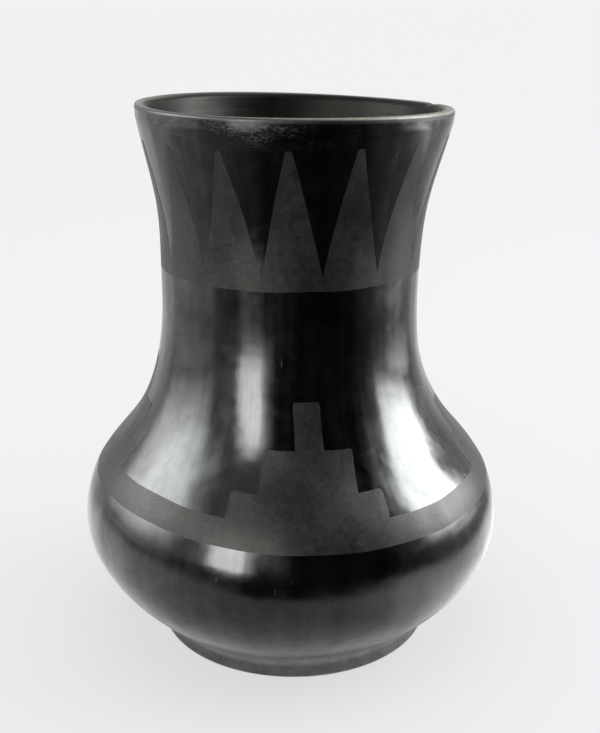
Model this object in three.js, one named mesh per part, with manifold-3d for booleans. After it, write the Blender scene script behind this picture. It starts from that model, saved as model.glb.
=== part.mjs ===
// A hand-built black clay vase: the clay pieces that the potter lutes together, and the two
// matt slip bands painted over the burnished wall. Millimetres, +Z up, the origin at the
// middle of the ring that it stands on.
import * as THREE from "three";
import { mergeVertices } from "three/addons/utils/BufferGeometryUtils.js";
import Module from "manifold-3d";

const wasm = await Module();
wasm.setup();

// Driving dimensions: the outside of the pot
const totalHeight = 260;
const footRadius = 68.5;
const footHeight = 10;
const bellyRadius = 103.2;
const bellyHeight = 61;
const neckRadius = 61.5;
const neckHeight = 171;
const mouthRadius = 73.2;
const lipRise = 4; // from the widest part of the lip to its crest

// How full the outline is: each curve's handles, as shares of the height that the curve climbs
const footSpread = THREE.MathUtils.degToRad(35); // the wall's slope where it leaves the foot
const footFullness = 0.51;
const bellyLowerFullness = 0.35;
const bellyUpperFullness = 0.41;
const neckLowerFullness = 0.68;
const neckUpperFullness = 0.53;
const mouthFullness = 0.47;
const mouthFlare = 0.245; // how far the wall leans out for each millimetre of rise

// Clay
const wallThickness = 7;
const lipRadius = 3.6;
const footRingWidth = 8.2;
const footEdgeRadius = 2;
const slabThickness = 9.5;
const slabStand = 2.5; // the floor slab's top stands this far above the foot ring
const luteGap = 0.35;
const scarfRise = 4; // a luted seam climbs this far from the outside to the inside
const rimScarfRise = 2;

// Wall coils, counted in each part of the pot
const bellyCoils = 3;
const shoulderCoils = 2;
const neckCoils = 2;
const mouthCoils = 2;
const rimSeamDrop = 8.5; // from the crest of the lip down to the seam under the rim coil

// Matt slip
const slipGap = 0.3;
const slipThickness = 0.5;
const toothCount = 15;
const toothTipDrop = 11; // below the crest of the lip
const toothLength = 56;
const toothTipHalfWidth = 2.2;
const toothBandHeight = 6;
const stepBandBottom = 82;
const stepBandHeight = 10.5;
const stepMotifCount = 4;
const stepMotifTurn = THREE.MathUtils.degToRad(7); // the front motif stands a little to the right
const steps = [
  { rise: 10, halfAngle: 23 },
  { rise: 16.5, halfAngle: 14.8 },
  { rise: 19.5, halfAngle: 5.2 },
];

// Fineness of the mesh
const turns = 48;
const curveDivisions = [6, 12, 7];
const lipDivisions = 6;

const mouthHeight = totalHeight - lipRise;
const footInnerRadius = footRadius - footRingWidth;
const slabTop = footHeight + slabStand;
const toothTip = totalHeight - toothTipDrop;
const toothValley = toothTip - toothLength;
const toothBandBottom = toothValley - toothBandHeight;
const stepBandTop = stepBandBottom + stepBandHeight;
const outOfReach = bellyRadius + mouthRadius;

// The outside of the wall: three curves, upright at the belly and at the neck
function outsideLine() {
  const point = (r, z) => new THREE.Vector2(r, z);
  const lowerRise = bellyHeight - footHeight;
  const middleRise = neckHeight - bellyHeight;
  const upperRise = mouthHeight - neckHeight;
  const footHandle = footFullness * lowerRise;
  const mouthHandle = mouthFullness * upperRise;
  const lower = new THREE.CubicBezierCurve(
    point(footRadius, footHeight),
    point(
      footRadius + footHandle * Math.cos(footSpread),
      footHeight + footHandle * Math.sin(footSpread),
    ),
    point(bellyRadius, bellyHeight - bellyLowerFullness * lowerRise),
    point(bellyRadius, bellyHeight),
  );
  const middle = new THREE.CubicBezierCurve(
    point(bellyRadius, bellyHeight),
    point(bellyRadius, bellyHeight + bellyUpperFullness * middleRise),
    point(neckRadius, neckHeight - neckLowerFullness * middleRise),
    point(neckRadius, neckHeight),
  );
  const upper = new THREE.CubicBezierCurve(
    point(neckRadius, neckHeight),
    point(neckRadius, neckHeight + neckUpperFullness * upperRise),
    point(mouthRadius - mouthFlare * mouthHandle, mouthHeight - mouthHandle),
    point(mouthRadius, mouthHeight),
  );
  return [lower, middle, upper].flatMap((curve, i) =>
    curve.getPoints(curveDivisions[i]).slice(i ? 1 : 0),
  );
}

// A line moved sideways by a distance, towards the axis where the distance is positive
function offsetLine(line, distance) {
  return line.map((p, i) => {
    const before = line[Math.max(i - 1, 0)];
    const after = line[Math.min(i + 1, line.length - 1)];
    const along = after.clone().sub(before).normalize();
    return new THREE.Vector2(p.x - along.y * distance, p.y + along.x * distance);
  });
}

// The point of a rising line at a height
function pointAt(line, z) {
  const below = line.findLastIndex((p) => p.y <= z);
  const i = THREE.MathUtils.clamp(below, 0, line.length - 2);
  const share = (z - line[i].y) / (line[i + 1].y - line[i].y);
  return line[i].clone().lerp(line[i + 1], share);
}

// The stretch of a line between two heights
function stretch(line, low, high) {
  const between = line.filter((p) => p.y > low + 0.5 && p.y < high - 0.5);
  return [pointAt(line, low), ...between, pointAt(line, high)];
}

const outside = outsideLine();
const inside = offsetLine(outside, wallThickness);

function turned(outline) {
  const closed = [...outline, outline[0]];
  return new THREE.LatheGeometry(closed, turns).rotateX(Math.PI / 2);
}

// The seams between the coils, from the foot up: each part of the wall is shared out evenly,
// and the belly and the neck end under the middle of a painted ring
function wallCoils() {
  const bellyTop = (stepBandBottom + stepBandTop) / 2;
  const neckTop = (toothBandBottom + toothValley) / 2;
  const parts = [
    { name: "belly", coils: bellyCoils, top: bellyTop },
    { name: "shoulder", coils: shoulderCoils, top: (bellyTop + neckTop) / 2 },
    { name: "neck", coils: neckCoils, top: neckTop },
    { name: "mouth", coils: mouthCoils, top: totalHeight - rimSeamDrop },
  ];
  const coils = [];
  let low = footHeight;
  for (const part of parts) {
    const height = (part.top - low) / part.coils;
    for (let i = 1; i <= part.coils; i++) {
      const name = `${part.name}_coil_${i}`;
      coils.push({ name, low: low + (i - 1) * height, high: low + i * height });
    }
    low = part.top;
  }
  return coils;
}

const coils = wallCoils();
const rimSeam = coils.at(-1).high;

// How far a seam climbs through the wall
const riseOf = (seam) => (seam === rimSeam ? rimScarfRise : scarfRise);

// One coil between two luted seams
function wallCoil({ low, high }) {
  const bottom = low + luteGap / 2;
  const top = high - luteGap / 2;
  const outer = stretch(outside, bottom, top);
  const inner = stretch(inside, bottom + riseOf(low), top + riseOf(high));
  return turned([...outer, ...inner.reverse()]);
}

// The lowest coil stands on the foot ring and closes against the floor slab
function lowestCoil({ low, high }) {
  const bottom = low + luteGap;
  const top = high - luteGap / 2;
  const outer = stretch(outside, bottom, top);
  const inner = stretch(inside, inside[0].y, top + riseOf(high));
  const corner = [
    new THREE.Vector2(footInnerRadius, slabTop),
    new THREE.Vector2(footInnerRadius, bottom),
  ];
  return turned([...outer, ...inner.reverse(), ...corner]);
}

// The lip: a coil rounded over the top of the mouth
function rimCoil() {
  const low = rimSeam + luteGap / 2;
  const outer = stretch(outside, low, mouthHeight);
  const centre = new THREE.Vector2(mouthRadius - lipRadius, totalHeight - lipRadius);
  const crest = [];
  for (let i = 0; i <= lipDivisions; i++) {
    const angle = (Math.PI * i) / lipDivisions;
    crest.push(
      new THREE.Vector2(
        centre.x + lipRadius * Math.cos(angle),
        centre.y + lipRadius * Math.sin(angle),
      ),
    );
  }
  const innerLow = pointAt(inside, low + rimScarfRise);
  return turned([...outer, ...crest, innerLow]);
}

function footRing() {
  const edge = footEdgeRadius;
  const rounding = edge * (1 - Math.SQRT1_2);
  return turned([
    new THREE.Vector2(footInnerRadius + edge, 0),
    new THREE.Vector2(footRadius - edge, 0),
    new THREE.Vector2(footRadius - rounding, rounding),
    new THREE.Vector2(footRadius, edge),
    new THREE.Vector2(footRadius, footHeight),
    new THREE.Vector2(footInnerRadius, footHeight),
    new THREE.Vector2(footInnerRadius, edge),
  ]);
}

function baseSlab() {
  const radius = footInnerRadius - luteGap;
  const disc = new THREE.CylinderGeometry(radius, radius, slabThickness, turns);
  return disc.rotateX(Math.PI / 2).translate(0, 0, slabTop - slabThickness / 2);
}

// Booleans: a closed three.js geometry to a solid and back
function solidOf(geometry) {
  const bare = geometry.clone();
  bare.deleteAttribute("normal");
  bare.deleteAttribute("uv");
  const merged = mergeVertices(bare);
  const mesh = new wasm.Mesh({
    numProp: 3,
    vertProperties: merged.attributes.position.array,
    triVerts: new Uint32Array(merged.index.array),
  });
  return new wasm.Manifold(mesh);
}

function geometryOf(solid) {
  const { vertProperties, triVerts } = solid.getMesh();
  const geometry = new THREE.BufferGeometry();
  geometry.setAttribute("position", new THREE.BufferAttribute(vertProperties, 3));
  geometry.setIndex(new THREE.BufferAttribute(triVerts, 1));
  geometry.computeVertexNormals();
  return geometry;
}

// A skin of slip over the wall between two heights
function slipSkin(low, high) {
  const under = stretch(offsetLine(outside, -slipGap), low, high);
  const over = stretch(offsetLine(outside, -slipGap - slipThickness), low, high);
  return solidOf(turned([...over, ...under.reverse()]));
}

// Everything between two heights
function layer(low, high) {
  const disc = new THREE.CylinderGeometry(outOfReach, outOfReach, high - low, turns);
  return solidOf(disc.rotateX(Math.PI / 2).translate(0, 0, (low + high) / 2));
}

// Everything in front of one tooth: a tall triangle with a round tip, cut straight outwards
function toothCut(angle) {
  const halfBase = pointAt(outside, toothValley).x * Math.sin(Math.PI / toothCount);
  const tipCentre = toothTip - toothTipHalfWidth;
  const shape = new THREE.Shape();
  shape.moveTo(-halfBase, toothValley);
  shape.lineTo(-halfBase, toothValley - 1);
  shape.lineTo(halfBase, toothValley - 1);
  shape.lineTo(halfBase, toothValley);
  shape.lineTo(toothTipHalfWidth, tipCentre);
  shape.absarc(0, tipCentre, toothTipHalfWidth, 0, Math.PI, false);
  const cut = new THREE.ExtrudeGeometry(shape, {
    depth: outOfReach,
    bevelEnabled: false,
    curveSegments: 4,
  });
  return solidOf(cut.rotateX(Math.PI / 2).rotateZ(angle));
}

function toothBand() {
  let outline = layer(toothBandBottom - 1, toothValley);
  for (let i = 0; i < toothCount; i++) {
    outline = outline.add(toothCut((2 * Math.PI * i) / toothCount));
  }
  return geometryOf(slipSkin(toothBandBottom, toothTip + 1).intersect(outline));
}

// Everything within an angle of one motif's middle, between two heights
function wedge(middle, halfAngle, low, high) {
  const shape = new THREE.Shape();
  const sideways = outOfReach * Math.tan(halfAngle);
  shape.moveTo(0, 0);
  shape.lineTo(-sideways, -outOfReach);
  shape.lineTo(sideways, -outOfReach);
  const cut = new THREE.ExtrudeGeometry(shape, { depth: high - low, bevelEnabled: false });
  return solidOf(cut.translate(0, 0, low).rotateZ(middle));
}

function steppedBand() {
  const motifTop = steps.reduce((z, step) => z + step.rise, stepBandTop);
  let outline = layer(stepBandBottom - 1, stepBandTop);
  for (let i = 0; i < stepMotifCount; i++) {
    const middle = stepMotifTurn + (2 * Math.PI * i) / stepMotifCount;
    let top = stepBandTop;
    for (const step of steps) {
      top += step.rise;
      const halfAngle = THREE.MathUtils.degToRad(step.halfAngle);
      outline = outline.add(wedge(middle, halfAngle, stepBandTop - 1, top));
    }
  }
  return geometryOf(slipSkin(stepBandBottom, motifTop + 1).intersect(outline));
}

const burnished = { color: 0x17181a, roughness: 0.18, metalness: 0 };
const plain = { color: 0x232221, roughness: 0.7, metalness: 0 };
const matt = { color: 0x3b3d3a, roughness: 0.85, metalness: 0 };

const [lowest, ...others] = coils;
const pieces = [
  ["base_slab", baseSlab(), plain],
  ["foot_ring", footRing(), burnished],
  [lowest.name, lowestCoil(lowest), burnished],
  ...others.map((coil) => [coil.name, wallCoil(coil), burnished]),
  ["rim_coil", rimCoil(), burnished],
  ["tooth_band_slip", toothBand(), matt],
  ["stepped_band_slip", steppedBand(), matt],
];

const group = new THREE.Group();
for (const [name, geometry, finish] of pieces) {
  const mesh = new THREE.Mesh(geometry, new THREE.MeshStandardMaterial(finish));
  mesh.name = name;
  group.add(mesh);
}

export default group;
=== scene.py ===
# A hand-built black clay vase: burnished clay with two bands of matt slip painted over it.
# The clay is drawn up ring by ring, the slip is cut out flat and wrapped round the pot, and then
# every piece gets the same small unevenness of a pot made by hand, so that they still fit.
import math

import bmesh
import bpy
import numpy as np
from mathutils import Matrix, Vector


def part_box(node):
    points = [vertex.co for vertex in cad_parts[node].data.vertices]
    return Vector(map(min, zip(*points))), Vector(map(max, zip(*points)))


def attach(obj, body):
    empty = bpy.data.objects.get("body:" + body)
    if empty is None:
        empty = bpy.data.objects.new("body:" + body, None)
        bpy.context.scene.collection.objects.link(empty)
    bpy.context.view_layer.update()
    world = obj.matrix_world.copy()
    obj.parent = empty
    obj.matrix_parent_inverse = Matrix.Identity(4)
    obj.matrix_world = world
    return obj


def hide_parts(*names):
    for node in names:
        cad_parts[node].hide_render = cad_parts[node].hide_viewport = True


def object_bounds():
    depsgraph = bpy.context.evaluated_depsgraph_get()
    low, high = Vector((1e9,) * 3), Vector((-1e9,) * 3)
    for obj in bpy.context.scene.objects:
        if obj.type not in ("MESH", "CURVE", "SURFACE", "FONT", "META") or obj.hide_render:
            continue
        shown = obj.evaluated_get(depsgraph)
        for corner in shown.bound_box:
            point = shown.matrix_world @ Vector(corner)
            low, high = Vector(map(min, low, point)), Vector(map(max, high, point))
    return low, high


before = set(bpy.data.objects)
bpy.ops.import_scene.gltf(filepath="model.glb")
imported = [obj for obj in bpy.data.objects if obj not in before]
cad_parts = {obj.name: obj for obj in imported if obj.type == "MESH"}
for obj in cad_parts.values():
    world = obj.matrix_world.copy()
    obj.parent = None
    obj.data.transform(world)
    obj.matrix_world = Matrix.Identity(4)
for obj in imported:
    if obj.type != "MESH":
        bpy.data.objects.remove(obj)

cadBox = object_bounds()
mm = 0.001

pot = {
    "height": cadBox[1].z,
    "footRadius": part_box("foot_ring")[1].x,
    "footHeight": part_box("foot_ring")[1].z,
    "bellyRadius": cadBox[1].x,
    "bellyHeight": 61 * mm,
    "neckRadius": 61.5 * mm,
    "neckHeight": 171 * mm,
    "mouthRadius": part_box("rim_coil")[1].x,
    "lipRise": 4 * mm,
    "wall": 7 * mm,
    "footSpread": math.radians(35),
    "footFillet": 11 * mm,
    "mouthFlare": 0.245,
    "sides": 256,
    "rowSpacing": 1.8 * mm,
}

# how full each curve of the outline is, as a share of the height that it climbs
fullness = {
    "foot": 0.51, "bellyLower": 0.35, "bellyUpper": 0.41,
    "neckLower": 0.68, "neckUpper": 0.53, "mouth": 0.47,
}


def curvePoints(p0, p1, p2, p3, count):
    t = np.linspace(0, 1, count)[:, None]
    a, b, c, d = (np.array(p, float) for p in (p0, p1, p2, p3))
    return (1 - t) ** 3 * a + 3 * (1 - t) ** 2 * t * b + 3 * (1 - t) * t**2 * c + t**3 * d


def outsideLine():
    # foot to belly, belly to neck, neck to mouth, upright at the belly and at the neck
    foot, belly = pot["footHeight"], pot["bellyHeight"]
    neck, mouth = pot["neckHeight"], pot["height"] - pot["lipRise"]
    reach = fullness["foot"] * (belly - foot)
    lower = curvePoints(
        (pot["footRadius"], foot),
        (pot["footRadius"] + reach * math.cos(pot["footSpread"]),
         foot + reach * math.sin(pot["footSpread"])),
        (pot["bellyRadius"], belly - fullness["bellyLower"] * (belly - foot)),
        (pot["bellyRadius"], belly), 200)
    middle = curvePoints(
        (pot["bellyRadius"], belly),
        (pot["bellyRadius"], belly + fullness["bellyUpper"] * (neck - belly)),
        (pot["neckRadius"], neck - fullness["neckLower"] * (neck - belly)),
        (pot["neckRadius"], neck), 400)
    lean = fullness["mouth"] * (mouth - neck)
    upper = curvePoints(
        (pot["neckRadius"], neck),
        (pot["neckRadius"], neck + fullness["neckUpper"] * (mouth - neck)),
        (pot["mouthRadius"] - pot["mouthFlare"] * lean, mouth - lean),
        (pot["mouthRadius"], mouth), 300)
    # smeared clay fills the corner where the belly springs from the upright foot
    turn = math.pi / 2 - pot["footSpread"]
    start = foot - pot["footFillet"] * math.tan(turn / 2)
    angles = math.pi - np.linspace(0, turn, 40)
    hollow = np.column_stack([pot["footRadius"] + pot["footFillet"] * (1 + np.cos(angles)),
                              start + pot["footFillet"] * np.sin(angles)])
    lower = lower[lower[:, 1] > hollow[-1, 1]]
    return np.vstack([hollow, lower, middle[1:], upper[1:]])


def offsetLine(line, distance):
    # the same line moved towards the axis
    along = np.gradient(line, axis=0)
    along /= np.linalg.norm(along, axis=1)[:, None]
    return line + distance * np.column_stack([-along[:, 1], along[:, 0]])


outside = outsideLine()
inside = offsetLine(outside, pot["wall"])


def radiusAt(line, z):
    return np.interp(z, line[:, 1], line[:, 0])


def stretch(line, low, high):
    # evenly spaced points of a line between two heights, closer together at both ends
    count = max(int((high - low) / pot["rowSpacing"]), 4)
    z = low + (high - low) * np.linspace(0, 1, count)
    z = np.concatenate([[z[0], z[0] + 0.1 * mm], z[1:-1], [z[-1] - 0.1 * mm, z[-1]]])
    return [(float(radiusAt(line, h)), float(h)) for h in z]


def arcPoints(centre, radius, start, end, count):
    angles = np.radians(np.linspace(start, end, count))
    return [(centre[0] + radius * math.cos(a), centre[1] + radius * math.sin(a)) for a in angles]


# ---- drawing clay up ring by ring

def startPiece(name):
    piece = bpy.context.object
    piece.name = name
    piece.data.name = name
    bpy.ops.object.transform_apply(location=True, rotation=True, scale=True)
    return piece


def chooseOnly(piece):
    bpy.ops.object.select_all(action="DESELECT")
    piece.select_set(True)
    bpy.context.view_layer.objects.active = piece


def pullRings(rings):
    # the circle just added is pulled on through radii and heights, from the first one's
    bpy.ops.object.mode_set(mode="EDIT")
    bpy.ops.mesh.select_all(action="SELECT")
    radius, z = rings[0]
    for nextRadius, nextZ in rings[1:]:
        bpy.ops.mesh.extrude_region_move(TRANSFORM_OT_translate={"value": (0, 0, nextZ - z)})
        bpy.ops.transform.resize(value=(nextRadius / radius, nextRadius / radius, 1))
        radius, z = nextRadius, nextZ


def drawUp(name, outline):
    # one ring of clay pulled along an outline that comes back to its start
    bpy.ops.object.select_all(action="DESELECT")
    radius, z = outline[0]
    bpy.ops.mesh.primitive_circle_add(vertices=pot["sides"], radius=radius, location=(0, 0, z))
    piece = startPiece(name)
    pullRings(outline + outline[:1])
    bpy.ops.mesh.select_all(action="SELECT")
    bpy.ops.mesh.remove_doubles(threshold=0.01 * mm)
    bpy.ops.mesh.normals_make_consistent(inside=False)
    bpy.ops.object.mode_set(mode="OBJECT")
    return piece


# ---- the small unevenness of a pot made by hand, the same for every piece

hand = {
    "seed": 11,
    "lean": 2.2 * mm,  # the belly and neck stand a little to the left of the foot
    "mouthLean": 0.9 * mm,
    "rimTilt": 1.5 * mm,
    "rimWave": 0.5 * mm,
    "oval": 0.003,
    "dents": 0.13 * mm,
    "dentLengths": (24 * mm, 75 * mm),
    "facets": 0.022 * mm,  # left by the polishing stone, which runs up and down
    "fingerRidges": 0.14 * mm,
    "nick": {"around": math.radians(111), "wide": math.radians(2.6), "depth": 0.6 * mm},
}


def smoothStep(low, high, x):
    t = np.clip((x - low) / (high - low), 0, 1)
    return t * t * (3 - 2 * t)


def slowWaves(points, shortest, longest, count, draw):
    total = np.zeros(len(points))
    for _ in range(count):
        direction = draw.normal(size=3)
        direction /= np.linalg.norm(direction)
        length = draw.uniform(shortest, longest)
        total += np.sin(points @ direction * (2 * math.pi / length) + draw.uniform(0, 2 * math.pi))
    return total / math.sqrt(count / 2)


def unevenByHand(piece):
    draw = np.random.default_rng(hand["seed"])
    count = len(piece.data.vertices)
    points = np.zeros(count * 3)
    piece.data.vertices.foreach_get("co", points)
    points = points.reshape(-1, 3)
    x, y, z = points.T
    radius = np.hypot(x, y)
    around = np.arctan2(x, -y)
    climb = np.clip(z / pot["height"], 0, 1)
    grow = 1 + hand["oval"] * climb * (np.cos(2 * around + 0.6) + 0.6 * np.cos(3 * around - 1.0))
    dents = hand["dents"] * slowWaves(points, *hand["dentLengths"], 26, draw)
    facets = np.zeros(count)
    for turns in (17, 23, 31, 38):
        swing = 0.35 * np.sin(z / (31 * mm) + turns)
        facets += np.sin(turns * around + swing + draw.uniform(0, 6))
    facets *= hand["facets"]
    isInner = radius < radiusAt(outside, z) - 0.5 * pot["wall"]
    ridges = hand["fingerRidges"] * np.sin(2 * math.pi * z / (11.5 * mm) + 0.8 * np.sin(around * 2))
    standing = smoothStep(0, 14 * mm, z)  # the foot stays flat and round
    radial = radius * grow + standing * (dents + np.where(isInner, ridges, facets))
    scale = np.where(radius > 1e-9, radial / np.maximum(radius, 1e-9), 1)
    lean = -hand["lean"] * np.sin(math.pi * climb) ** 1.3 + hand["mouthLean"] * climb**3
    upper = smoothStep(0.72 * pot["height"], pot["height"], z)
    sideways = np.sin(around) * np.clip(radius / pot["mouthRadius"], 0, 1)
    drop = upper * (-hand["rimTilt"] * sideways + hand["rimWave"] * np.sin(2 * around))
    nick = hand["nick"]
    crumbled = np.exp(-((around - nick["around"]) / nick["wide"]) ** 2)
    drop = drop - nick["depth"] * crumbled * smoothStep(pot["height"] - 3.5 * mm, pot["height"], z)
    moved = np.column_stack([x * scale + lean, y * scale, z + drop])
    piece.data.vertices.foreach_set("co", moved.ravel())
    piece.data.update()


# ---- the clay

seams = {"belly": 12.3 * mm, "shoulder": 87.5 * mm, "mouth": 190 * mm, "rim": 251.5 * mm}
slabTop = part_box("base_slab")[1].z
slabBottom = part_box("base_slab")[0].z

foot = {
    "innerRadius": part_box("base_slab")[1].x,
    "bottomRounding": 2.4 * mm,
    "innerRounding": 1.6 * mm,
}


def footRing():
    rounding, inner = foot["bottomRounding"], foot["innerRounding"]
    outer, hole = pot["footRadius"], foot["innerRadius"] + 0.1 * mm
    outline = arcPoints((outer - rounding, rounding), rounding, -90, 0, 8)
    outline += [(outer, z) for z in np.linspace(rounding + 0.6 * mm, outside[0][1] - 0.4 * mm, 3)]
    outline += stretch(outside, outside[0][1], seams["belly"])
    outline += [(hole, z) for z in np.linspace(seams["belly"], inner + 1 * mm, 6)]
    outline += arcPoints((hole + inner, inner), inner, 180, 270, 6)
    return drawUp("foot_ring_clay", outline)


def wallPiece(name, low, high):
    outer = stretch(outside, low, high)
    inner = stretch(inside, low, high)
    return drawUp(name, outer + inner[::-1])


def bellyWall():
    # its inner foot curves down to meet the floor slab
    hole = foot["innerRadius"] + 0.1 * mm
    outer = stretch(outside, seams["belly"], seams["shoulder"])
    inner = stretch(inside, slabTop + 4.5 * mm, seams["shoulder"])
    radius, z = inner[0]
    corner = curvePoints((radius, z), (radius - 1.2 * mm, z - 2.4 * mm),
                         (hole + 2.5 * mm, slabTop), (hole, slabTop), 8)[1:]
    outline = outer + inner[::-1] + [tuple(p) for p in corner] + [(hole, seams["belly"])]
    return drawUp("belly_wall_clay", outline)


lip = {
    "shoulder": 6.5 * mm,  # how far below the crown the wall begins to straighten
    "lean": 6,  # degrees it still leans out by when the outer edge begins
    "outerRounding": 1.3 * mm,
    "innerRounding": 3.6 * mm,
    "dip": 0.25 * mm,
}


def rimCoil():
    # a thick lip: straightened outside, nearly flat on top, and rolled over softly into the mouth
    crown, edge, flare = pot["height"], pot["mouthRadius"], pot["mouthFlare"]
    outer = stretch(outside, seams["rim"], crown - lip["shoulder"])
    radius, z = outer[-1]
    rounding = lip["outerRounding"]
    overOuter = arcPoints((edge - rounding, crown - rounding), rounding, -lip["lean"], 84, 10)
    endRadius, endZ = overOuter[0]
    straighter = math.tan(math.radians(lip["lean"]))
    turn = curvePoints((radius, z), (radius + flare * 1.6 * mm, z + 1.6 * mm),
                       (endRadius - straighter * 1.6 * mm, endZ - 1.6 * mm), (endRadius, endZ), 8)[1:-1]
    # the inner rounding starts where the wall, drawn on upwards, touches it
    inner = lip["innerRounding"]
    rimInside = stretch(inside, seams["rim"], crown - 7.4 * mm)
    leanIn = math.atan(flare)
    touchZ = crown - lip["dip"] - inner * (1 - math.sin(leanIn))
    touchRadius = rimInside[-1][0] + flare * (touchZ - rimInside[-1][1])
    centre = (touchRadius + inner * math.cos(leanIn), touchZ - inner * math.sin(leanIn))
    overInner = arcPoints(centre, inner, 90, 180 - math.degrees(leanIn), 12)
    middle = ((edge - rounding + centre[0]) / 2, crown - 0.3 * lip["dip"])
    outline = outer + [tuple(p) for p in turn] + overOuter + [middle] + overInner
    return drawUp("rim_coil_clay", outline + rimInside[::-1])


def floorSlab():
    # a flat disc, its centre closed to a point above and below
    edge = foot["innerRadius"]
    count = 14
    below = [(edge * k / count, slabBottom + 0.4 * mm * (1 - k / count)) for k in range(1, count + 1)]
    above = [(edge * k / count, slabTop - 0.6 * mm * (1 - k / count)) for k in range(count, 0, -1)]
    piece = drawUp("floor_slab_clay", below + above)
    bpy.ops.object.mode_set(mode="EDIT")
    for low, high in ((0, slabBottom + 2 * mm), (slabTop - 2 * mm, 1)):
        mesh = bmesh.from_edit_mesh(piece.data)
        for v in mesh.verts:
            v.select_set(low < v.co.z < high and math.hypot(v.co.x, v.co.y) < 1.2 * edge / count)
        mesh.select_flush_mode()
        bmesh.update_edit_mesh(piece.data)
        bpy.ops.mesh.merge(type="CENTER")
    bpy.ops.object.mode_set(mode="OBJECT")
    return piece


# ---- the slip, cut out flat and wrapped round the pot

slip = {"gap": 0.03 * mm, "thickness": 0.04 * mm, "flatRadius": 100 * mm}
fullTurn = 2 * math.pi * slip["flatRadius"]


def flat(degrees):
    return math.radians(degrees) * slip["flatRadius"]


def flatSheet(name, width, low, high, columns, rows):
    bpy.ops.object.select_all(action="DESELECT")
    bpy.ops.mesh.primitive_grid_add(
        x_subdivisions=columns, y_subdivisions=rows, size=1,
        location=(0, 0, (low + high) / 2), rotation=(math.pi / 2, 0, 0))
    bpy.context.object.scale = (width, high - low, 1)
    return startPiece(name)


def selectTop(piece, half, height):
    # the middle of the sheet's upper edge, so many columns to either side
    mesh = bmesh.from_edit_mesh(piece.data)
    top = sorted((v for v in mesh.verts if abs(v.co.z - height) < 0.02 * mm), key=lambda v: v.co.x)
    centre = len(top) // 2
    chosen = set(top[centre - half:centre + half + 1])
    for v in mesh.verts:
        v.select_set(v in chosen)
    for f in mesh.faces:
        f.select_set(False)
    for e in mesh.edges:
        e.select_set(all(v in chosen for v in e.verts))
    bmesh.update_edit_mesh(piece.data)


def raiseTop(rise, widen=1.0, shift=0.0):
    bpy.ops.mesh.extrude_edges_move(TRANSFORM_OT_translate={"value": (shift, 0, rise)})
    if widen != 1:
        bpy.ops.transform.resize(value=(widen, 1, 1))


def divideRise(piece, low, high, cuts):
    # rows across the long upright edges just raised
    mesh = bmesh.from_edit_mesh(piece.data)
    for e in mesh.edges:
        a, b = sorted(v.co.z for v in e.verts)
        e.select_set(abs(a - low) < 0.05 * mm and abs(b - high) < 0.05 * mm)
    bmesh.update_edit_mesh(piece.data)
    bpy.ops.mesh.subdivide(number_cuts=cuts)


def repeatAround(piece, count):
    # copies side by side, joined into one sheet a full turn long
    pitch = fullTurn / count
    copies = [piece]
    for k in range(1, count):
        chooseOnly(piece)
        bpy.ops.object.duplicate()
        bpy.ops.transform.translate(value=(pitch * k, 0, 0))
        copies.append(bpy.context.object)
    for copy in copies:
        copy.select_set(True)
    bpy.context.view_layer.objects.active = piece
    bpy.ops.object.join()
    bpy.ops.object.transform_apply(location=True, rotation=True, scale=True)


def wrapRound(piece, wander):
    # flat x becomes the way round, and the sheet lies just off the clay
    points = np.zeros(len(piece.data.vertices) * 3)
    piece.data.vertices.foreach_get("co", points)
    x, _, z = points.reshape(-1, 3).T
    around = x / slip["flatRadius"]
    around, z = wander(around, z)
    skin = offsetLine(outside, -slip["gap"])
    radius = radiusAt(skin, z)
    wrapped = np.column_stack([radius * np.sin(around), -radius * np.cos(around), z])
    piece.data.vertices.foreach_set("co", wrapped.ravel())
    piece.data.update()
    chooseOnly(piece)
    bpy.ops.object.mode_set(mode="EDIT")
    bpy.ops.mesh.select_all(action="SELECT")
    bpy.ops.mesh.remove_doubles(threshold=0.02 * mm)
    bpy.ops.mesh.normals_make_consistent(inside=False)
    bpy.ops.object.mode_set(mode="OBJECT")


def facesOutward(piece):
    # an open sheet has no inside, so the side away from the axis is named here
    face = max(piece.data.polygons, key=lambda f: f.area)
    centre, normal = face.center, face.normal
    return centre.x * normal.x + centre.y * normal.y > 0


def thicken(piece):
    if not facesOutward(piece):
        piece.data.flip_normals()
    solid = piece.modifiers.new("slip thickness", "SOLIDIFY")
    solid.thickness = slip["thickness"]
    solid.offset = 1
    bpy.ops.object.modifier_apply(modifier=solid.name)


teeth = {
    "count": 15,
    "bottom": 186.4 * mm,
    "valley": 192.6 * mm,
    "tip": 246.6 * mm,
    "tipWidth": 3.4 * mm,
    "lean": flat(-2.6),
    "columns": 24,
    "rows": 30,
    "turn": math.radians(0.5),
}


def paintedWander(around, z):
    # where the brush strayed: the teeth crowd a little at the front, and edges wobble
    stray = math.radians(1.6) * np.sin(around)
    wobble = np.sin(9 * around + z / (9 * mm)) + 0.6 * np.sin(21 * around - z / (14 * mm))
    around = around + teeth["turn"] + stray + wobble * 0.14 * mm / pot["neckRadius"]
    tall = np.clip((z - teeth["valley"]) / (teeth["tip"] - teeth["valley"]), 0, 1)
    around = around + tall * math.radians(1.2) * (1 - np.cos(2 * around - 0.28))
    z = z + tall * (0.9 + 2.6 * np.sin(around - 0.3)) * mm
    z = z + 0.14 * mm * (np.sin(7 * around + 1) + np.sin(12 * around))
    return around, z + 0.5 * mm * np.sin(around + 2.6)


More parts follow.
